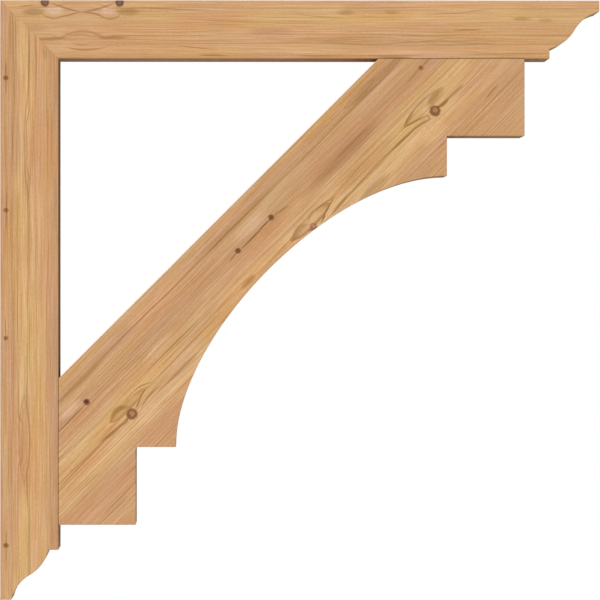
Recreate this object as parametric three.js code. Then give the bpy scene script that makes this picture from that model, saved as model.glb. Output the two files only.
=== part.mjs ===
import * as THREE from "three";

// Sizes, in millimetres

const bracketReach = 914.4; // wall face to the nose of the top plate
const bracketDrop = 914.4; // top face to the nose of the wall plate
const timberWidth = 139.7; // all three timbers are this wide and lie flush
const plateThick = 88.9;
const openingLeg = 487.9; // clear length of each plate between the inner corner and the brace
const braceDepth = 241.3; // the brace's board, measured square to its grain
const jointGap = 0.3; // air left where two timbers meet

// Ogee on the free end of each plate

const ogeeLength = 76.2;
const ogeeNose = 17.0; // square nose at the tip
const ogeeFillet = 15.2; // square step beside the inner face
const ogeeSweep = THREE.MathUtils.degToRad(46); // turn of each of its two arcs
const ogeeSteps = 14;

// Stepped ends and arch of the brace

const endSetback = 38.1; // from the start of the ogee back to the brace's end
const stepLength = 118.6;
const stepDrop = 61.0;
const archPull = 172.7; // how far the arch runs on square from each step before it turns
const archSteps = 56;

// Points are measured from the outer corner: "out" away from the wall, "down" from the top face.

// Points of an arc from one point to another that turns by the angle given, left for plus.
function arcBetween(from, to, turn, steps) {
  const chord = to.clone().sub(from);
  const middle = from.clone().add(to).multiplyScalar(0.5);
  const square = new THREE.Vector2(-chord.y, chord.x);
  const centre = middle.addScaledVector(square, 0.5 / Math.tan(turn / 2));
  const points = [];
  for (let i = 1; i <= steps; i++) {
    points.push(from.clone().rotateAround(centre, (turn * i) / steps));
  }
  return points;
}

// A plate seen from the side: x runs along it from the mitre, y across it from its outer face.
function plateOutline(length) {
  const mitreBack = jointGap / Math.SQRT2;
  const ogeeStart = length - ogeeLength;
  const filletTop = new THREE.Vector2(ogeeStart, plateThick - ogeeFillet);
  const tip = new THREE.Vector2(length, ogeeNose);
  const middle = filletTop.clone().add(tip).multiplyScalar(0.5);
  return [
    new THREE.Vector2(mitreBack, 0),
    new THREE.Vector2(plateThick + mitreBack, plateThick),
    new THREE.Vector2(ogeeStart, plateThick),
    filletTop,
    ...arcBetween(filletTop, middle, -ogeeSweep, ogeeSteps),
    ...arcBetween(middle, tip, ogeeSweep, ogeeSteps),
    new THREE.Vector2(length, 0),
  ];
}

// One end of the brace, from the opening to the step where the arch starts.
// x is along the plate that it seats on and y is away from that plate.
function braceEnd(plateLength) {
  const seat = plateThick + jointGap;
  const upperSum = 2 * plateThick + openingLeg;
  const lowerSum = upperSum + braceDepth * Math.SQRT2;
  const end = plateLength - ogeeLength - endSetback;
  const cornerDrop = lowerSum - end;
  return [
    new THREE.Vector2(upperSum - seat, seat),
    new THREE.Vector2(end, seat),
    new THREE.Vector2(end, cornerDrop),
    new THREE.Vector2(end - stepLength, cornerDrop),
    new THREE.Vector2(end - stepLength, cornerDrop + stepDrop),
  ];
}

function braceOutline() {
  const upper = braceEnd(bracketReach);
  const lower = braceEnd(bracketDrop).map((p) => new THREE.Vector2(p.y, p.x));
  const archFrom = upper.at(-1);
  const archTo = lower.at(-1);
  const arch = new THREE.CubicBezierCurve(
    archFrom,
    new THREE.Vector2(archFrom.x - archPull, archFrom.y),
    new THREE.Vector2(archTo.x, archTo.y - archPull),
    archTo,
  );
  return [...upper, ...arch.getSpacedPoints(archSteps).slice(1, -1), ...lower.reverse()];
}

// Sawn timber from an outline of points (out, down)
function timber(name, outline, colour) {
  const topZ = bracketDrop / 2;
  const side = new THREE.Shape(outline.map((p) => new THREE.Vector2(p.x, topZ - p.y)));
  const geometry = new THREE.ExtrudeGeometry(side, { depth: timberWidth, bevelEnabled: false });
  geometry.rotateX(Math.PI / 2);
  geometry.translate(0, timberWidth / 2, 0);
  const wood = new THREE.MeshStandardMaterial({ color: colour, roughness: 0.62, metalness: 0 });
  const mesh = new THREE.Mesh(geometry, wood);
  mesh.name = name;
  return mesh;
}

const topOutline = plateOutline(bracketReach);
const wallOutline = plateOutline(bracketDrop).map((p) => new THREE.Vector2(p.y, p.x));

const bracket = new THREE.Group();
bracket.name = "corbel_bracket";
bracket.add(timber("wall_plate", wallOutline, 0xcfa071));
bracket.add(timber("top_plate", topOutline, 0xd0a36f));
bracket.add(timber("brace", braceOutline(), 0xcf9f6d));

export default bracket;
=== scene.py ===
import math
import bpy
import bmesh
from mathutils import Matrix, Vector
from mathutils.geometry import interpolate_bezier


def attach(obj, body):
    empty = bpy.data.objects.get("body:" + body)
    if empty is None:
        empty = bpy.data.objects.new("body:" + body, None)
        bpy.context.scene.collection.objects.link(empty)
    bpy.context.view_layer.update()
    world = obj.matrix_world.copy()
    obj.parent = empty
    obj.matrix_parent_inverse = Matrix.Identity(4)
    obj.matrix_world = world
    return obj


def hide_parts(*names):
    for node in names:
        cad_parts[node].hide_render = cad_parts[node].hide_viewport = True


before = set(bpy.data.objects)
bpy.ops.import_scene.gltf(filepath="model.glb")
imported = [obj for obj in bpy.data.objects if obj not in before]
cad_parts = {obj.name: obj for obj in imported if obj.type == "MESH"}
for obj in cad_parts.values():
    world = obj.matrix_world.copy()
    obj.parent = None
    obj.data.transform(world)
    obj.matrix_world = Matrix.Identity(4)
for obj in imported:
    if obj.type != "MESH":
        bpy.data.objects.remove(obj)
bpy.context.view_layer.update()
print("frame loaded:", ", ".join(sorted(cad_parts)))

# Everything about a timber is in millimetres on its own grain axes:
# along the grain, across the face that shows, and deep, away from the viewer.

bracket = {
    "reach": 914.4,
    "drop": 914.4,
    "width": 139.7,
    "plateThick": 88.9,
    "jointGap": 0.06,  # joints drawn up tight
    "arris": 0.9,  # the eased edge
    "arrisSteps": 3,
}

ogee = {
    "length": 76.2,
    "nose": 17.0,
    "fillet": 15.2,
    "sweep": math.radians(46),
    "steps": 22,
}

brace = {
    "openingLeg": 487.9,
    "depth": 241.3,
    "endSetback": 38.1,
    "stepLength": 118.6,
    "stepDrop": 61.0,
    "archPull": 172.7,
    "archSteps": 110,
}

root2 = math.sqrt(2)
thick = bracket["plateThick"]
seat = thick + bracket["jointGap"]  # where the brace's ends lie
mitreBack = bracket["jointGap"] / root2  # half the mitre's gap, measured along a plate
upperSum = 2 * thick + brace["openingLeg"]  # out plus down, on the brace's upper edge
lowerSum = upperSum + brace["depth"] * root2
faceY = -bracket["width"] / 2
onPlane = 0.02  # a point this near a plane, in millimetres, is on it
sharpTurn = math.radians(35)


def grainFrame(along, across, start):
    # From grain axes in millimetres to the room in metres. start is where the axes begin, in millimetres.
    along, across = Vector(along).normalized(), Vector(across).normalized()
    turn = Matrix((along, across, along.cross(across))).transposed().to_4x4()
    return Matrix.Scale(0.001, 4) @ Matrix.Translation(start) @ turn


wallGrain = grainFrame((0, 0, 1), (1, 0, 0), (0, faceY, -bracket["drop"] / 2))
topGrain = grainFrame((1, 0, 0), (0, 0, -1), (0, faceY, bracket["drop"] / 2))
braceGrain = grainFrame((1, 0, 1), (1, 0, -1), (upperSum / 2, faceY, bracket["drop"] / 2 - upperSum / 2))


# Timber shapes

def stepTo(bm, last, place):
    corner = bm.verts.new((place[0], place[1], 0))
    bm.edges.new((last, corner))
    return corner


def arcTo(bm, last, place, turn, steps):
    # An arc from the last corner to a place, turning by the angle given
    chord = Vector((place[0], place[1], 0)) - last.co
    centre = last.co + chord / 2 + Vector((-chord.y, chord.x, 0)) * 0.5 / math.tan(turn / 2)
    spun = bmesh.ops.spin(bm, geom=[last], cent=centre, axis=(0, 0, 1), dvec=(0, 0, 0), angle=turn,
                          steps=steps, use_merge=False, use_normal_flip=False, use_duplicate=False)
    return next(g for g in spun["geom_last"] if isinstance(g, bmesh.types.BMVert))


def plateSide(bm, length, contact):
    # Side view of a plate, along it from the mitre. contact is the run that the brace covers.
    ogeeStart = length - ogee["length"]
    first = bm.verts.new((mitreBack, 0, 0))
    last = stepTo(bm, first, (thick + mitreBack, thick))
    for along in contact:
        last = stepTo(bm, last, (along, thick))
    last = stepTo(bm, last, (ogeeStart, thick))
    last = stepTo(bm, last, (ogeeStart, thick - ogee["fillet"]))
    middle = (length - ogee["length"] / 2, (thick - ogee["fillet"] + ogee["nose"]) / 2)
    last = arcTo(bm, last, middle, -ogee["sweep"], ogee["steps"])
    last = arcTo(bm, last, (length, ogee["nose"]), ogee["sweep"], ogee["steps"])
    last = stepTo(bm, last, (length, 0))
    bm.edges.new((last, first))


def onBoard(out, down):
    # A place of the side view on the brace's own grain axes
    return ((out - down) / root2, (out + down - upperSum) / root2)


def braceEnd(plateLength):
    # One end of the brace as (out, down), from the opening to the start of the arch
    end = plateLength - ogee["length"] - brace["endSetback"]
    corner = lowerSum - end
    nose = end - brace["stepLength"]
    return [(upperSum - seat, seat), (end, seat), (end, corner), (nose, corner), (nose, corner + brace["stepDrop"])]


def braceSide(bm):
    upper = braceEnd(bracket["reach"])
    lower = [(down, out) for out, down in reversed(braceEnd(bracket["drop"]))]
    pull = brace["archPull"]
    handles = [upper[-1], (upper[-1][0] - pull, upper[-1][1]), (lower[0][0], lower[0][1] - pull), lower[0]]
    arch = interpolate_bezier(*[Vector(onBoard(*place)) for place in handles], brace["archSteps"])
    first = last = bm.verts.new((*onBoard(*upper[0]), 0))
    for out, down in upper[1:]:
        last = stepTo(bm, last, onBoard(out, down))
    for place in arch[1:-1]:
        last = stepTo(bm, last, place)
    for out, down in lower:
        last = stepTo(bm, last, onBoard(out, down))
    bm.edges.new((last, first))


def easeArrises(bm, joints, contact):
    # Every sharp outer edge is eased, but those at a joint stay crisp
    def onJoint(face):
        middle = face.calc_center_median()
        return any(abs((middle - place).dot(square)) < onPlane for place, square in joints)

    def inContact(edge):
        middle = (edge.verts[0].co + edge.verts[1].co) / 2
        return contact and abs(middle.y - thick) < onPlane and contact[0] < middle.x < contact[1]

    sharp = [e for e in bm.edges if e.is_convex and e.calc_face_angle() > sharpTurn
             and not any(onJoint(f) for f in e.link_faces) and not inContact(e)]
    # The clamp is off. An arris that stops partway along a straight edge would shrink every arris to nothing.
    bmesh.ops.bevel(bm, geom=sharp, offset=bracket["arris"], offset_type="OFFSET", segments=bracket["arrisSteps"],
                    profile=0.5, affect="EDGES", clamp_overlap=False, material=-1)


def makeTimber(name, node, grain, drawSide, joints, contact=()):
    bm = bmesh.new()
    drawSide(bm)
    side = bmesh.ops.contextual_create(bm, geom=bm.edges[:])["faces"]
    sawn = bmesh.ops.extrude_face_region(bm, geom=side)
    bmesh.ops.translate(bm, verts=[g for g in sawn["geom"] if isinstance(g, bmesh.types.BMVert)],
                        vec=(0, 0, bracket["width"]))
    bmesh.ops.recalc_face_normals(bm, faces=bm.faces[:])
    easeArrises(bm, joints, contact)
    bmesh.ops.transform(bm, matrix=grain, verts=bm.verts[:])
    bmesh.ops.recalc_face_normals(bm, faces=bm.faces[:])
    for face in bm.faces:
        face.smooth = True
    for edge in bm.edges:
        edge.smooth = edge.calc_face_angle(0) < sharpTurn
    print("timber shaped:", name, len(bm.faces), "faces,", sum(not e.is_manifold for e in bm.edges), "open edges")
    mesh = bpy.data.meshes.new(name)
    bm.to_mesh(mesh)
    bm.free()
    timber = bpy.data.objects.new(name, mesh)
    bpy.context.scene.collection.objects.link(timber)
    level = timber.modifiers.new("flat faces stay flat", "WEIGHTED_NORMAL")
    level.keep_sharp = True
    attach(timber, "root")
    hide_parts(node)
    return timber


braceStop = bracket["reach"] - ogee["length"] - brace["endSetback"]
topContact = (upperSum - thick, braceStop)
wallContact = (bracket["drop"] - braceStop, bracket["drop"] - upperSum + thick)
mitreSquare = Vector((1, -1, 0)).normalized()
footSquare = Vector((1, 1, 0)).normalized()
seatMiddle = onBoard((upperSum - thick + braceStop) / 2, seat)
footMiddle = onBoard(seat, (upperSum - thick + braceStop) / 2)


def wallSide(bm):
    plateSide(bm, bracket["drop"], topContact)
    # The wall plate's grain axes start at its foot
    bmesh.ops.scale(bm, vec=(-1, 1, 1), verts=bm.verts[:])
    bmesh.ops.translate(bm, vec=(bracket["drop"], 0, 0), verts=bm.verts[:])


def topSide(bm):
    plateSide(bm, bracket["reach"], topContact)


wallPlate = makeTimber("wall_plate_timber", "wall_plate", wallGrain, wallSide,
                       joints=[(Vector((bracket["drop"] - mitreBack, 0, 0)), footSquare)], contact=wallContact)
topPlate = makeTimber("top_plate_timber", "top_plate", topGrain, topSide,
                      joints=[(Vector((mitreBack, 0, 0)), mitreSquare)], contact=topContact)
braceTimber = makeTimber("brace_timber", "brace", braceGrain, braceSide,
                         joints=[(Vector((*seatMiddle, 0)), mitreSquare), (Vector((*footMiddle, 0)), footSquare)])


# Cedar

cedarColours = {
    "straw": "#e2b887",
    "honey": "#daaf77",
    "amber": "#d8a878",
    "tan": "#d4a773",
    "sand": "#cfa272",
    "rose": "#ca9b6f",
    "clay": "#c1946c",
    "blush": "#deb491",
    "coral": "#d29c6e",
    "nut": "#b28852",
    "umber": "#a77a4c",
    "lateWood": "#956834",
    # check: painted shade, the dark inside of a crack
    "check": "#5a3418",
    "endGrain": "#b98855",
}

# Millimetres along, across and deep that each figure of the wood takes
cedarCells = {
    "wander": (230, 34, 34),
    "quiver": (90, 9, 9),
    "fibre": (130, 2.2, 2.2),
    "hair": (45, 1.5, 1.5),
    "fleck": (5, 1.7, 1.7),
    "fade": (150, 26, 26),
    "rose": (190, 30, 30),
    "tint": (160, 24, 24),
}


def cellScale(figure):
    return tuple(1 / size for size in cedarCells[figure])


def linearColour(hexValue):
    parts = [int(hexValue[i:i + 2], 16) / 255 for i in (1, 3, 5)]
    return tuple(c / 12.92 if c <= 0.04045 else ((c + 0.055) / 1.055) ** 2.4 for c in parts) + (1.0,)


def addNode(tree, kind, settings, inputs, give=0, stops=()):
    # Adds a node with its settings, its links or values and its ramp's stops.
    # Gives one output, or all of them if give is None.
    node = tree.nodes.new("ShaderNode" + kind)
    for name, value in settings.items():
        setattr(node, name, value)
    for slot, source in inputs.items():
        if isinstance(source, bpy.types.NodeSocket):
            tree.links.new(source, node.inputs[slot])
        else:
            node.inputs[slot].default_value = source
    if stops:
        ramp = node.color_ramp.elements
        ramp[0].position, ramp[0].color = stops[0]
        ramp[-1].position, ramp[-1].color = stops[-1]
        for place, colour in stops[1:-1]:
            ramp.new(place).color = colour
    if give is None or not len(node.outputs):
        return node.outputs
    return node.outputs[give]


def grey(value):
    return (value, value, value, 1.0)


def woodMask(tree, grain, broken, middle, half, strength, lean=0.0, bow=0.0):
    # A soft oval on the wood, drawn out along the grain and broken up by its fibres. bow bends it, in half widths.
    place = addNode(tree, "Mapping", {"vector_type": "TEXTURE"}, {
        "Vector": grain, "Location": middle, "Rotation": (0, 0, lean), "Scale": half})
    if bow:
        squared = addNode(tree, "VectorMath", {"operation": "MULTIPLY"}, {0: place, 1: place})
        squared = addNode(tree, "SeparateXYZ", {}, {"Vector": squared}, give="X")
        bend = addNode(tree, "Math", {"operation": "MULTIPLY_ADD"}, {0: squared, 1: bow * 2.25, 2: -bow})
        bend = addNode(tree, "CombineXYZ", {}, {"Y": bend})
        place = addNode(tree, "VectorMath", {"operation": "ADD"}, {0: place, 1: bend})
    oval = addNode(tree, "TexGradient", {"gradient_type": "SPHERICAL"}, {"Vector": place}, give="Fac")
    oval = addNode(tree, "Math", {"operation": "MULTIPLY"}, {0: oval, 1: broken})
    return addNode(tree, "MapRange", {"interpolation_type": "SMOOTHSTEP"}, {
        "Value": oval, "From Max": 0.6, "To Max": strength})


def cedar(name, board, look):
    # Western red cedar, sawn and planed, bare. Growth rings are a few millimetres apart: pale honey early wood
    # and thin brown late wood. It has pinkish heartwood bands, small tight knots and a soft satin, no gloss.
    material = bpy.data.materials.new(name)
    material.use_nodes = True
    tree = material.node_tree
    tree.nodes.clear()
    colour = {key: linearColour(value) for key, value in cedarColours.items()}
    coords = addNode(tree, "TexCoord", {}, {}, give="Object")
    grain = addNode(tree, "Mapping", {"vector_type": "TEXTURE"}, {
        "Vector": coords, "Location": board.translation, "Rotation": board.to_3x3().normalized().to_euler(),
        "Scale": (0.001, 0.001, 0.001)})

    # The log was never quite straight, so the rings wander along the timber
    wideCell = addNode(tree, "Mapping", {}, {"Vector": grain, "Location": look["seed"], "Scale": cellScale("wander")})
    wander = addNode(tree, "TexNoise", {}, {"Vector": wideCell, "Scale": 1.0, "Detail": 1.5, "Roughness": 0.45})
    fineCell = addNode(tree, "Mapping", {}, {"Vector": grain, "Location": look["seed"], "Scale": cellScale("quiver")})
    quiver = addNode(tree, "TexNoise", {}, {"Vector": fineCell, "Scale": 1.0, "Detail": 2.0})
    sway = addNode(tree, "Math", {"operation": "MULTIPLY_ADD"}, {0: wander, 1: look["sway"] * 2, 2: -look["sway"]})
    shiver = addNode(tree, "Math", {"operation": "MULTIPLY_ADD"}, {0: quiver, 1: 1.6, 2: -0.8})
    stray = addNode(tree, "Math", {"operation": "ADD"}, {0: sway, 1: shiver})
    aside = addNode(tree, "CombineXYZ", {}, {"Y": shiver, "Z": shiver})
    bent = addNode(tree, "VectorMath", {"operation": "ADD"}, {0: grain, 1: aside})

    # Fine fibre streaks and the short flecks of open pores, 1.5 to 2.2 mm across, drawn a little coarse to show
    fibreCell = addNode(tree, "Mapping", {}, {"Vector": bent, "Scale": cellScale("fibre")})
    fibre = addNode(tree, "TexNoise", {}, {"Vector": fibreCell, "Scale": 1.0, "Detail": 2.0, "Roughness": 0.55})
    broken = addNode(tree, "Math", {"operation": "MULTIPLY_ADD"}, {0: fibre, 1: 0.9, 2: 0.55})
    hairCell = addNode(tree, "Mapping", {}, {"Vector": bent, "Location": (0.3, 0.8, 0.1), "Scale": cellScale("hair")})
    hair = addNode(tree, "TexNoise", {}, {"Vector": hairCell, "Scale": 1.0, "Detail": 1.0})
    fleckCell = addNode(tree, "Mapping", {}, {
        "Vector": bent, "Location": (0.6, 0.2, 0.9), "Scale": cellScale("fleck")})
    fleck = addNode(tree, "TexNoise", {}, {"Vector": fleckCell, "Scale": 1.0, "Detail": 1.0})

    # Growth rings round the pith, lifted where a branch grew
    pithAcross, pithDeep = look["pith"]
    fromPith = addNode(tree, "Mapping", {}, {
        "Vector": grain, "Location": (0, -pithAcross, -pithDeep), "Scale": (0, 1, 1)})
    radius = addNode(tree, "VectorMath", {"operation": "LENGTH"}, {0: fromPith}, give="Value")
    rings = addNode(tree, "Math", {"operation": "ADD"}, {0: radius, 1: stray})
    for along, across, halfLong, halfWide, lift in look["swells"]:
        mask = woodMask(tree, grain, 1.0, (along, across, 0), (halfLong, halfWide, 70), lift)
        rings = addNode(tree, "Math", {"operation": "ADD"}, {0: rings, 1: mask})
    season = addNode(tree, "TexNoise", {"noise_dimensions": "1D"}, {"W": rings, "Scale": 0.09, "Detail": 1.0})
    years = addNode(tree, "Math", {"operation": "MULTIPLY_ADD"}, {0: season, 1: 2.4, 2: 40.0})
    years = addNode(tree, "Math", {"operation": "MULTIPLY_ADD"}, {0: rings, 1: 1 / look["ringStep"], 2: years})
    part = addNode(tree, "Math", {"operation": "FRACT"}, {0: years})
    late = addNode(tree, "ValToRGB", {}, {"Fac": part}, stops=[
        (0.0, grey(0.1)), (0.35, grey(0.0)), (0.6, grey(0.35)),
        (0.78, grey(0.95)), (0.9, grey(1.0)), (1.0, grey(0.1))])
    year = addNode(tree, "Math", {"operation": "FLOOR"}, {0: years})
    hardYear = addNode(tree, "TexWhiteNoise", {"noise_dimensions": "1D"}, {"W": year}, give="Value")
    hardYear = addNode(tree, "Math", {"operation": "POWER"}, {0: hardYear, 1: 1.8})
    hardYear = addNode(tree, "Math", {"operation": "MULTIPLY_ADD"}, {0: hardYear, 1: 0.85, 2: 0.25})
    fadeCell = addNode(tree, "Mapping", {}, {
        "Vector": grain, "Location": (7.3, 2.1, 5.5), "Scale": cellScale("fade")})
    fade = addNode(tree, "TexNoise", {}, {"Vector": fadeCell, "Scale": 1.0, "Detail": 1.0})
    fade = addNode(tree, "MapRange", {}, {
        "Value": fade, "From Min": 0.3, "From Max": 0.65, "To Min": 0.35, "To Max": 1.0})
    late = ringMark = addNode(tree, "Math", {"operation": "MULTIPLY"}, {0: late, 1: hardYear})
    late = addNode(tree, "Math", {"operation": "MULTIPLY"}, {0: late, 1: fade})

    # Heartwood bands lie along the grain and wander with it
    across = addNode(tree, "SeparateXYZ", {}, {"Vector": grain}, give="Y")
    bandAt = addNode(tree, "Math", {"operation": "MULTIPLY_ADD"}, {0: stray, 1: 1.2, 2: across})
    bandAt = addNode(tree, "Math", {"operation": "DIVIDE"}, {0: bandAt, 1: look["across"]})
    wood = addNode(tree, "ValToRGB", {}, {"Fac": bandAt}, stops=[
        (place / look["across"], colour[band]) for place, band, show in look["bands"]])
    showing = addNode(tree, "ValToRGB", {}, {"Fac": bandAt}, stops=[
        (place / look["across"], grey(show)) for place, band, show in look["bands"]])
    late = addNode(tree, "Math", {"operation": "MULTIPLY"}, {0: late, 1: showing})

    # Patches of rose along the length, then the board's own stains
    roseCell = addNode(tree, "Mapping", {}, {
        "Vector": grain, "Location": (3.7, 8.2, 1.4), "Scale": cellScale("rose")})
    rose = addNode(tree, "TexNoise", {}, {"Vector": roseCell, "Scale": 1.0, "Detail": 2.0})
    rose = addNode(tree, "MapRange", {}, {"Value": rose, "From Min": 0.38, "From Max": 0.68, "To Max": 0.5})
    wood = addNode(tree, "Mix", {"data_type": "RGBA"}, {0: rose, 6: wood, 7: colour["rose"]}, give=2)
    for along, across, halfLong, halfWide, stain, strength in look["stains"]:
        mask = woodMask(tree, bent, broken, (along, across, 0), (halfLong, halfWide, 60), strength)
        wood = addNode(tree, "Mix", {"data_type": "RGBA"}, {0: mask, 6: wood, 7: colour[stain]}, give=2)

    wood = addNode(tree, "Mix", {"data_type": "RGBA"}, {0: late, 6: wood, 7: colour["lateWood"]}, give=2)
    streak = addNode(tree, "MapRange", {}, {
        "Value": fibre, "From Min": 0.25, "From Max": 0.75, "To Min": 0.79, "To Max": 1.2})
    strand = addNode(tree, "MapRange", {}, {
        "Value": hair, "From Min": 0.25, "From Max": 0.75, "To Min": 0.88, "To Max": 1.12})
    pores = addNode(tree, "MapRange", {}, {
        "Value": fleck, "From Min": 0.25, "From Max": 0.75, "To Min": 0.92, "To Max": 1.08})
    streak = addNode(tree, "Math", {"operation": "MULTIPLY"}, {0: streak, 1: strand})
    streak = addNode(tree, "Math", {"operation": "MULTIPLY"}, {0: streak, 1: pores})
    crisp = addNode(tree, "MapRange", {}, {
        "Value": showing, "From Min": 0.2, "From Max": 0.9,
        "To Min": 0.75 * look["fibre"], "To Max": 1.2 * look["fibre"]})
    streak = addNode(tree, "Mix", {}, {0: crisp, 2: 1.0, 3: streak})
    # Heartwood is pinker here and yellower there
    tintCell = addNode(tree, "Mapping", {}, {"Vector": bent, "Location": look["seed"], "Scale": cellScale("tint")})
    tint = addNode(tree, "TexNoise", {}, {"Vector": tintCell, "Scale": 1.0, "Detail": 1.5}, give="Color")
    tint = addNode(tree, "SeparateXYZ", {}, {"Vector": tint}, give=None)
    hue = addNode(tree, "MapRange", {}, {"Value": tint[0], "To Min": 0.485, "To Max": 0.515})
    richness = addNode(tree, "MapRange", {}, {"Value": tint[1], "To Min": 0.9, "To Max": 1.1})
    wood = addNode(tree, "HueSaturation", {}, {"Color": wood, "Hue": hue, "Saturation": richness})
    # Bright fibres are paler as well as brighter, so blue moves most
    glint = addNode(tree, "VectorMath", {"operation": "MULTIPLY_ADD"}, {
        0: streak, 1: (0.58, 1.06, 1.85), 2: (0.42, -0.06, -0.85)})
    wood = addNode(tree, "VectorMath", {"operation": "MULTIPLY"}, {0: wood, 1: glint})

    # Single dark rings and checks that stand out, from a place to a place. Some bow round a knot. A check is a crack:
    # its dark colour is painted shade of the crack's inside, over a shallow bump dent.
    depth = addNode(tree, "Math", {"operation": "ADD"}, {0: late, 1: fibre})
    for kind in ("lines", "checks"):
        for along, across, alongEnd, acrossEnd, wide, strength, *sag in look[kind]:
            run = Vector((alongEnd - along, acrossEnd - across))
            middle = (along + run.x / 2, across + run.y / 2, 0)
            halfLong, halfWide = run.length * 0.75, wide * 0.72
            mask = woodMask(tree, bent, broken, middle, (halfLong, halfWide, 60), strength,
                            lean=math.atan2(run.y, run.x), bow=sum(sag) / halfWide)
            # Checks take painted shade, the dark inside of each crack; the wood's own late wood colours the lines
            shade = colour["lateWood"] if kind == "lines" else colour["check"]
            wood = addNode(tree, "Mix", {"data_type": "RGBA"}, {0: mask, 6: wood, 7: shade}, give=2)
            if kind == "checks":
                depth = addNode(tree, "Math", {"operation": "MULTIPLY_ADD"}, {0: mask, 1: -0.8, 2: depth})

    # Eyes: pointed ovals where the rings run out over a swelling, one inside the other
    for along, across, halfLong, halfWide, strength in look["eyes"]:
        place = addNode(tree, "Mapping", {"vector_type": "TEXTURE"}, {
            "Vector": bent, "Location": (along, across, 0), "Scale": (halfLong, halfWide, 60)})
        flat = addNode(tree, "VectorMath", {"operation": "ABSOLUTE"}, {0: place})
        squared = addNode(tree, "VectorMath", {"operation": "MULTIPLY"}, {0: place, 1: place})
        over = addNode(tree, "VectorMath", {"operation": "DOT_PRODUCT"}, {
            0: squared, 1: (0.8, 0.0, 0.8)}, give="Value")
        out = addNode(tree, "VectorMath", {"operation": "DOT_PRODUCT"}, {0: flat, 1: (0.0, 0.8, 0.0)}, give="Value")
        out = addNode(tree, "Math", {"operation": "ADD"}, {0: over, 1: out})
        mask = addNode(tree, "ValToRGB", {}, {"Fac": out}, stops=[
            (0.0, grey(0.5)), (0.12, grey(0.2)), (0.28, grey(0.0)), (0.4, grey(0.6)),
            (0.5, grey(0.1)), (0.6, grey(0.1)),
            (0.72, grey(0.9)), (0.82, grey(0.3)), (0.95, grey(0.0))])
        mask = addNode(tree, "Math", {"operation": "MULTIPLY"}, {0: mask, 1: strength})
        mask = addNode(tree, "Math", {"operation": "MULTIPLY"}, {0: mask, 1: broken})
        wood = addNode(tree, "Mix", {"data_type": "RGBA"}, {0: mask, 6: wood, 7: colour["lateWood"]}, give=2)

    # Knots: a dark bark ring round a branch cut across, never quite round and thicker on one side
    gnarl = addNode(tree, "TexNoise", {}, {"Vector": grain, "Scale": 0.22, "Detail": 3.0})
    for along, across, deep, size, heart, bark, strength in look["knots"]:
        place = addNode(tree, "Mapping", {"vector_type": "TEXTURE"}, {
            "Vector": grain, "Location": (along, across, deep), "Scale": (size, size, size * 3.5)})
        rim = addNode(tree, "VectorMath", {"operation": "LENGTH"}, {0: place}, give="Value")
        rim = addNode(tree, "Math", {"operation": "MULTIPLY_ADD"}, {0: gnarl, 1: 0.55, 2: rim})
        cover = addNode(tree, "MapRange", {"interpolation_type": "SMOOTHSTEP"}, {
            "Value": rim, "From Min": 1.52, "From Max": 1.12, "To Max": strength})
        core = addNode(tree, "VectorMath", {"operation": "DISTANCE"}, {0: place, 1: (0.08, -0.1, 0.0)}, give="Value")
        core = addNode(tree, "Math", {"operation": "MULTIPLY_ADD"}, {0: gnarl, 1: 1.2, 2: core})
        core = addNode(tree, "MapRange", {"interpolation_type": "SMOOTHSTEP"}, {
            "Value": core, "From Min": 0.9, "From Max": 1.3})
        face = addNode(tree, "Mix", {"data_type": "RGBA"}, {
            0: core, 6: linearColour(heart), 7: linearColour(bark)}, give=2)
        wood = addNode(tree, "Mix", {"data_type": "RGBA"}, {0: cover, 6: wood, 7: face}, give=2)

    # End grain drinks the light: it is browner the more squarely the grain is cut
    facing = addNode(tree, "TexCoord", {}, {}, give="Normal")
    cut = addNode(tree, "VectorMath", {"operation": "DOT_PRODUCT"}, {
        0: facing, 1: board.col[0].xyz.normalized()}, give="Value")
    cut = addNode(tree, "Math", {"operation": "ABSOLUTE"}, {0: cut})
    cut = addNode(tree, "MapRange", {}, {"Value": cut, "From Min": 0.2, "To Max": 0.6})
    wood = addNode(tree, "Mix", {"data_type": "RGBA"}, {0: cut, 6: wood, 7: colour["endGrain"]}, give=2)
    ringMark = addNode(tree, "Math", {"operation": "MULTIPLY"}, {0: ringMark, 1: cut})
    wood = addNode(tree, "Mix", {"data_type": "RGBA"}, {0: ringMark, 6: wood, 7: colour["umber"]}, give=2)

    satin = addNode(tree, "MapRange", {}, {"Value": fibre, "To Min": 0.55, "To Max": 0.72})
    relief = addNode(tree, "Bump", {}, {"Height": depth, "Strength": 0.25, "Distance": 0.0003})
    surface = addNode(tree, "BsdfPrincipled", {}, {
        "Base Color": wood, "Roughness": satin, "IOR": 1.5, "Specular IOR Level": 0.12, "Normal": relief})
    addNode(tree, "OutputMaterial", {}, {"Surface": surface})
    print("cedar mixed:", name, len(tree.nodes), "nodes")
    return material


# What each timber shows, in millimetres on its grain axes. Places are along then across, with the face at no depth.
# seed: where the board lies in the noise. across: its depth. pith: across, deep. ringStep: between rings.
# sway: how far the rings wander. fibre: how strongly the fine fibre shows.
# bands: across, colour, how strongly its rings show. stains: half length, half width, colour, strength.
# swells: half length, half width, lift of the rings. eyes: half length, half width, strength.
# lines and checks: to along, to across, width, strength, sag if it bows. knots: deep, size, heart, bark, strength.

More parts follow.
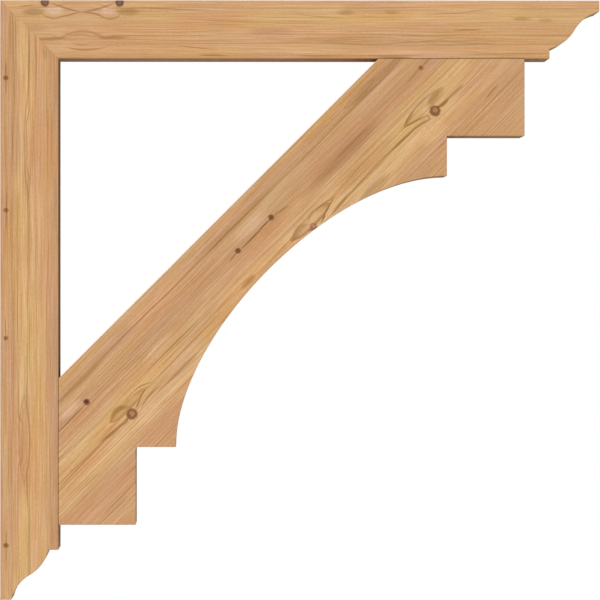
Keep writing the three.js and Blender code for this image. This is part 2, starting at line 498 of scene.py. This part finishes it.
wallLook = {
    "seed": (3.1, 0.4, 2.2),
    "across": 88.9,
    "pith": (112.0, 60.0),
    "ringStep": 4.2,
    "sway": 2.5,
    "fibre": 1.0,
    "bands": [
        (6.0, "rose", 0.4), (12, "sand", 0.7), (18, "rose", 0.9), (25, "tan", 0.6), (33, "honey", 0.5),
        (46, "tan", 0.7), (58, "amber", 0.45), (68, "tan", 0.4), (75, "rose", 0.4), (82, "clay", 0.5)],
    "swells": [
        (242, 36, 58, 14, 5.5), (695, 36, 92, 18, -3.5), (541, 33, 30, 7.6, -2.0), (796, 8.6, 18, 6.1, -1.2),
        (594, 8.6, 18, 6.1, -1.2), (399, 8.6, 18, 6.1, -1.2), (83, 8.6, 18, 6.1, -1.2)],
    "stains": [
        (839, 34, 61, 11, "straw", 0.6), (690, 23, 62, 12, "clay", 0.6), (735, 41, 105, 11, "straw", 0.75),
        (230, 46, 95, 32, "coral", 0.75), (503, 73, 92, 21, "coral", 0.6), (595, 45, 50, 7.0, "honey", 0.6),
        (457, 38, 69, 12, "straw", 0.5), (244, 60, 122, 24, "tan", 0.6), (680, 72, 92, 20, "coral", 0.6),
        (122, 36, 61, 11, "honey", 0.6), (530, 28, 24, 6.1, "rose", 0.6), (836, 70, 17, 7.0, "clay", 0.8),
        (690, 10.5, 140, 5.0, "clay", 0.5), (800, 22.5, 90, 5.0, "clay", 0.45)],
    "lines": [
        (820, 8.6, 796, 8.6, 2.0, 0.85), (796, 8.6, 772, 8.6, 1.7, 0.75), (625, 9.2, 561, 8.9, 1.9, 0.8),
        (430, 7.8, 399, 8.9, 1.4, 0.6), (399, 8.9, 378, 9.2, 1.2, 0.5), (106, 9.2, 83, 8.9, 1.4, 0.7),
        (83, 8.9, 60, 8.9, 1.4, 0.6), (869, 44.4, 750, 44.4, 1.5, 0.38), (750, 44.4, 726, 40.6, 1.7, 0.5),
        (726, 40.6, 663, 40.6, 1.7, 0.48), (663, 40.6, 637, 44.8, 1.7, 0.48), (637, 44.8, 457, 45.2, 1.5, 0.35),
        (457, 45.2, 343, 44.4, 1.5, 0.5), (869, 55.1, 732, 54.4, 1.4, 0.5), (610, 54.4, 350, 55.1, 1.4, 0.4),
        (343, 41.4, 289, 39.1, 1.5, 0.55), (195, 39.6, 144, 41.7, 1.5, 0.6), (144, 45.2, 15, 45.2, 1.4, 0.5),
        (900, 14.7, 823, 15.5, 1.5, 0.7), (900, 19.3, 808, 20.0, 1.5, 0.7), (823, 22.3, 724, 20.8, 1.4, 0.5),
        (724, 19.3, 671, 19.3, 1.5, 0.6), (457, 20.0, 274, 20.8, 1.4, 0.5), (884, 23.1, 839, 23.8, 1.2, 0.5)],
    "checks": [],
    "eyes": [
        (695, 42, 95, 6.0, 0.4), (245, 36.5, 70, 9.0, 0.5)],
    "knots": [
        (796, 8.6, 0, 3.8, "#6f4526", "#8a5a33", 0.85), (594, 8.9, 0, 3.7, "#764c2b", "#8f6038", 0.8),
        (399, 8.9, 0, 3.4, "#764c2b", "#8f6038", 0.8), (83, 8.9, 0, 3.9, "#6f4526", "#8a5a33", 0.8)],
}

topLook = {
    "seed": (9.4, 5.2, 0.7),
    "across": 88.9,
    "pith": (-70.0, 55.0),
    "ringStep": 4.0,
    "sway": 3.5,
    "fibre": 0.8,
    "bands": [
        (5.0, "amber", 0.55), (15, "tan", 0.65), (28, "honey", 0.45), (38, "tan", 0.4), (50, "amber", 0.5),
        (61, "sand", 0.6), (69, "amber", 0.5), (80, "tan", 0.6), (88, "rose", 0.7)],
    "swells": [
        (125, 60, 64, 15, -6.0), (125, 2.5, 52, 21, 5.0), (381, 45, 92, 14, 2.0), (656, 64, 92, 14, -2.0)],
    "stains": [
        (51, 17.7, 22, 7.5, "nut", 0.85), (195, 17.7, 22, 7.5, "nut", 0.85), (83, 15, 17, 9.5, "blush", 0.85),
        (164, 15.5, 17, 9.5, "blush", 0.85), (320, 34, 80, 22, "coral", 0.7), (560, 62, 130, 19, "rose", 0.7),
        (412, 50, 48, 13, "clay", 0.6), (412, 80, 55, 9.0, "rose", 0.6), (411, 67, 92, 21, "amber", 0.4),
        (526, 18, 18, 6.1, "nut", 0.7), (506, 13, 28, 7.6, "honey", 0.6), (598, 18, 15, 4.6, "nut", 0.5),
        (796, 28, 18, 4.6, "nut", 0.6), (832, 30, 15, 4.6, "nut", 0.5), (329, 38, 21, 15, "rose", 0.5),
        (747, 15, 76, 14, "amber", 0.5), (45, 43, 38, 10, "nut", 0.35), (30, 22, 30, 5.0, "nut", 0.3),
        (640, 82, 120, 7.0, "blush", 0.5)],
    "lines": [
        (77.3, 4.3, 123, 17.7, 2.8, 0.62, 1.0), (173, 4.9, 126, 17.7, 2.8, 0.62, -1.5),
        (91, 25.1, 120, 18.1, 2.6, 0.6, 0.6), (65, 21.6, 95.6, 24.5, 3.0, 0.45, 4.5),
        (128, 18.1, 157, 25.7, 2.6, 0.6, -1.7), (154, 24.8, 184, 21.6, 3.0, 0.45, 4.9),
        (94, 56.7, 157, 56.7, 3.8, 0.42, -9.0), (57.4, 59.2, 100, 56.5, 4.9, 0.5, 0.7),
        (149, 56.2, 193, 56.5, 5.2, 0.5, 1.1), (106, 55.9, 141, 56.3, 2.0, 0.4, -4.2),
        (111, 65.5, 137, 65.5, 2.0, 0.4, 2.6), (103, 72.7, 158, 72.1, 2.6, 0.6, 3.4),
        (213, 11.6, 305, 14.7, 1.4, 0.6), (30, 9.4, 51, 7.8, 1.5, 0.7), (305, 30.0, 396, 33.0, 1.4, 0.5),
        (274, 69.6, 328, 75.7, 1.5, 0.6), (305, 83.4, 344, 84.1, 2.3, 0.7), (457, 84.9, 526, 84.9, 2.0, 0.7),
        (526, 84.9, 640, 83.4, 1.8, 0.6), (576, 86.4, 625, 87.2, 2.3, 0.7), (610, 65.0, 671, 62.0, 1.7, 0.45),
        (671, 62.0, 762, 68.1, 1.5, 0.4), (694, 45.2, 732, 44.4, 1.8, 0.7), (717, 81.8, 836, 80.3, 1.5, 0.5),
        (457, 22.3, 526, 28.4, 1.5, 0.35), (656, 20.8, 717, 19.3, 1.5, 0.5), (709, 17.7, 747, 13.2, 1.5, 0.35)],
    "checks": [],
    "eyes": [
        (560, 62, 70, 6.0, 0.4), (700, 63, 60, 6.0, 0.35)],
    "knots": [
        (68, 3.4, 0, 6.2, "#7d5444", "#6b4230", 0.9), (182, 3.4, 0, 6.2, "#7d5444", "#6b4230", 0.9),
        (612, 38, 139.7, 7.0, "#a5714a", "#7c5230", 0.75)],
}

braceLook = {
    "seed": (1.7, 6.3, 4.5),
    "across": 241.3,
    "pith": (101.5, 14.0),
    "ringStep": 4.4,
    "sway": 3.0,
    "fibre": 1.14,
    "bands": [
        (6.0, "sand", 0.6), (17, "rose", 0.6), (24, "clay", 0.8), (30, "sand", 0.5), (41, "rose", 0.3),
        (54, "clay", 0.25), (67, "rose", 0.35), (76, "sand", 0.6), (85, "tan", 0.9), (95, "honey", 0.8),
        (108, "tan", 0.85), (122, "honey", 0.9), (134, "straw", 0.5), (144, "tan", 0.35), (158, "rose", 0.35),
        (204, "rose", 0.4), (220, "sand", 0.45)],
    "swells": [
        (345, 103, 52, 19, -4.0), (98, 105, 50, 18, -4.0), (-300, 105, 52, 19, -4.0), (-14, 56, 21, 9.2, -1.6),
        (58, 56, 21, 9.2, -1.6), (-339, 56, 21, 9.2, -1.6), (381, 56, 21, 9.2, -1.6)],
    "stains": [
        (205, 67, 110, 13, "umber", 0.6), (23, 42, 43, 13, "blush", 0.5), (-366, 46, 28, 9.2, "blush", 0.7),
        (341, 106, 12, 6.0, "blush", 0.6), (-285, 101, 11, 7.0, "straw", 0.6), (104, 104, 15, 9.0, "straw", 0.8),
        (-36, 100.5, 20, 6.5, "nut", 0.8), (326, 140, 34, 15, "straw", 0.7), (-287, 134, 37, 12, "straw", 0.7),
        (30, 24, 110, 8.0, "umber", 0.3), (90, 13, 90, 6.0, "clay", 0.5), (-130, 25, 110, 9.0, "tan", 0.6),
        (-324, 27, 76, 5.3, "nut", 0.6), (320, 20, 79, 9.9, "umber", 0.55), (-160, 18, 76, 18, "amber", 0.6),
        (-130, 98, 105, 8.0, "rose", 0.7), (225, 98, 75, 7.0, "clay", 0.55), (105, 113, 85, 14, "straw", 0.85),
        (-190, 112, 60, 12, "blush", 0.5), (-200, 123, 40, 6.0, "clay", 0.7), (-200, 74, 38, 8.0, "blush", 0.6),
        (134, 24, 40, 7.0, "clay", 0.6), (440, 128, 80, 18, "rose", 0.75), (200, 136, 42, 11, "nut", 0.7),
        (313, 128, 46, 6.1, "straw", 0.6)],
    "lines": [
        (-332, 100, -301, 105, 8.0, 0.65, -5.2), (-306, 112, -329, 118, 4.4, 0.7, -3.6),
        (-326, 118, -366, 114, 4.9, 0.65, -1.0), (-351, 117, -465, 119, 2.4, 0.6),
        (-250, 104, -280, 95.4, 1.7, 0.75, 2.3), (-278, 95.6, -297, 96, 1.6, 0.5, 0.9),
        (-256, 105, -281, 111, 2.0, 0.8, 1.7), (-279, 110, -293, 115, 2.4, 0.8, -0.6),
        (-248, 117, -286, 121, 2.5, 0.6, 2.1), (62, 101, 88, 100.5, 8.5, 0.42, -2.8),
        (147, 101, 110, 94.6, 2.3, 0.8, 0.4), (112, 94.4, 94.9, 100, 2.3, 0.5, 1.7),
        (147, 102, 122, 109, 2.4, 0.8), (123, 108, 106, 115, 2.6, 0.9, -0.7), (165, 114, 126, 118, 2.6, 0.75, 0.7),
        (297, 102, 330, 93.3, 1.8, 0.7, -1.5), (330, 93.3, 358, 93.8, 1.6, 0.55, -0.6),
        (304, 101, 326, 96, 1.4, 0.6, -0.5), (296, 102, 336, 114, 2.6, 0.75, -0.9),
        (335, 113, 334, 121, 2.0, 0.6, -2.4), (336, 121, 305, 114, 3.4, 0.7, 0.7), (307, 115, 262, 113, 3.4, 0.62),
        (356, 116, 377, 118, 4.9, 0.9, 1.6), (373, 118, 407, 119, 4.0, 0.6),
        (349, 104, 378, 99.5, 9.5, 0.55, -0.5), (305, 115.7, 229, 111.8, 2.6, 0.5),
        (235, 111.8, 165, 115.2, 2.2, 0.5), (171, 114.7, 128, 119.8, 2.0, 0.5),
        (-249, 105.3, -92, 103.8, 1.7, 0.6), (-247, 87.7, -142, 87.3, 1.8, 0.55),
        (-256, 122.1, -165, 122.8, 2.0, 0.5), (-92, 91.5, -229, 92.2, 1.4, 0.4), (189, 62.6, 253, 62.6, 2.3, 0.65),
        (-15, 56.2, -34, 58.4, 3.2, 0.6), (60, 56, 88, 61.5, 3.6, 0.5), (384, 55.5, 408, 54, 2.6, 0.6),
        (378, 56, 350, 57.5, 2.2, 0.5), (394, 167.8, 491, 167.1, 2.0, 0.5), (418, 158.7, 446, 157.2, 3.1, 0.6),
        (-458, 145.0, -400, 145.7, 1.5, 0.6), (-465, 201.4, -400, 202.9, 1.5, 0.6),
        (-442, 195.3, -389, 195.3, 1.4, 0.5)],
    "eyes": [
        (287, 17, 34, 6.0, 0.5)],
    # checks: cracks whose dark line is painted shade of the crack's inside
    "checks": [
        (-9, 57.8, 37, 57.6, 1.6, 0.85), (34, 56.4, 56, 57.0, 1.6, 0.85), (-342, 57.4, -409, 58.0, 2.0, 0.5),
        (85, 111, 98, 116, 3.2, 0.7)],
    "knots": [
        (-14, 55.7, 0, 4.3, "#6e4a2c", "#7a5632", 0.95), (58, 55.7, 0, 4.3, "#68452a", "#7a5632", 0.95),
        (-340, 55.7, 0, 4.8, "#522c20", "#80543f", 1.0), (381, 55.7, 0, 3.8, "#7f5029", "#9a6a3f", 0.9),
        (-304, 117.6, 0, 8.0, "#ae7a58", "#7f512b", 0.9), (350, 117.6, 0, 8.0, "#aa7553", "#7b4c28", 0.9),
        (94, 110.8, 0, 5.0, "#c08064", "#96604a", 0.8), (140, 74, 139.7, 7.5, "#a5714a", "#7c5230", 0.75)],
}

for timber, name, board, look in ((wallPlate, "wall_plate_cedar", wallGrain, wallLook),
                                  (topPlate, "top_plate_cedar", topGrain, topLook),
                                  (braceTimber, "brace_cedar", braceGrain, braceLook)):
    timber.data.materials.append(cedar(name, board, look))


# Studio

studio = {
    "floorDrop": 0.35,  # metres under the foot
    "floorReach": 6.5,
    "ambient": 0.07,
    "suns": {  # the way the light travels, strength, spread in degrees
        "key": ((0.25, 0.9, -0.25), 2.36, 30),
        "above": ((0.0, 0.0, -1.0), 0.6, 20),
        "upper_left": ((0.65, 0.2, -0.65), 1.0, 30),
        "right": ((-0.97, -0.04, -0.25), 0.62, 12),
        "behind": ((0.15, -0.95, -0.25), 1.4, 30),
    },
}


def makeFloor():
    bm = bmesh.new()
    bmesh.ops.create_grid(bm, x_segments=1, y_segments=1, size=studio["floorReach"])
    floorHeight = -bracket["drop"] / 2000 - studio["floorDrop"]
    bmesh.ops.translate(bm, verts=bm.verts[:], vec=(bracket["reach"] / 2000, 0, floorHeight))
    mesh = bpy.data.meshes.new("studio_floor")
    bm.to_mesh(mesh)
    bm.free()
    floor = bpy.data.objects.new("studio_floor", mesh)
    bpy.context.scene.collection.objects.link(floor)
    # Painted board: matt, nearly white, faintly mottled. It is clear from beneath, for a look up at the bracket.
    material = bpy.data.materials.new("painted_board")
    material.use_nodes = True
    tree = material.node_tree
    tree.nodes.clear()
    coords = addNode(tree, "TexCoord", {}, {}, give="Object")
    mottle = addNode(tree, "TexNoise", {}, {"Vector": coords, "Scale": 6.0, "Detail": 4.0})
    paint = addNode(tree, "ValToRGB", {}, {"Fac": mottle}, stops=[
        (0.3, linearColour("#f6f5f3")), (0.7, linearColour("#faf9f7"))])
    # It looks paler than it shines on the wood, as a board set well away would
    seen = addNode(tree, "LightPath", {}, {}, give="Is Camera Ray")
    paint = addNode(tree, "Mix", {"data_type": "RGBA"}, {0: seen, 6: grey(0.55), 7: paint}, give=2)
    matt = addNode(tree, "BsdfPrincipled", {}, {"Base Color": paint, "Roughness": 0.8, "Specular IOR Level": 0.2})
    under = addNode(tree, "NewGeometry", {}, {}, give="Backfacing")
    clear = addNode(tree, "BsdfTransparent", {}, {})
    surface = addNode(tree, "MixShader", {}, {0: under, 1: matt, 2: clear})
    addNode(tree, "OutputMaterial", {}, {"Surface": surface})
    mesh.materials.append(material)


def makeLights():
    for name, (travel, energy, spread) in studio["suns"].items():
        lamp = bpy.data.lights.new(name, "SUN")
        lamp.energy = energy
        lamp.angle = math.radians(spread)
        light = bpy.data.objects.new(name, lamp)
        light.rotation_euler = Vector(travel).to_track_quat("-Z", "Y").to_euler()
        bpy.context.scene.collection.objects.link(light)
    world = bpy.data.worlds.new("studio")
    bpy.context.scene.world = world
    world.use_nodes = True
    tree = world.node_tree
    tree.nodes.clear()
    seen = addNode(tree, "LightPath", {}, {}, give="Is Camera Ray")
    soft = addNode(tree, "Background", {}, {"Color": grey(studio["ambient"])})
    white = addNode(tree, "Background", {}, {"Color": grey(1.0)})
    air = addNode(tree, "MixShader", {}, {0: seen, 1: soft, 2: white})
    addNode(tree, "OutputWorld", {}, {"Surface": air})
    bpy.context.scene.view_settings.view_transform = "Standard"


camera = {
    "from": (0.3046, -9.56985, 0.0076),
    "to": (0.4572, -0.06985, 0.0),
    "lens": 373.6,
}


def makeCamera():
    lens = bpy.data.cameras.new("front_view")
    lens.lens = camera["lens"]
    lens.sensor_width = 36.0
    lens.clip_end = 100.0
    eye = bpy.data.objects.new("front_view", lens)
    eye.location = camera["from"]
    eye.rotation_euler = (Vector(camera["to"]) - Vector(camera["from"])).to_track_quat("-Z", "Y").to_euler()
    bpy.context.scene.collection.objects.link(eye)
    bpy.context.scene.camera = eye


makeFloor()
makeLights()
makeCamera()
print("studio set")
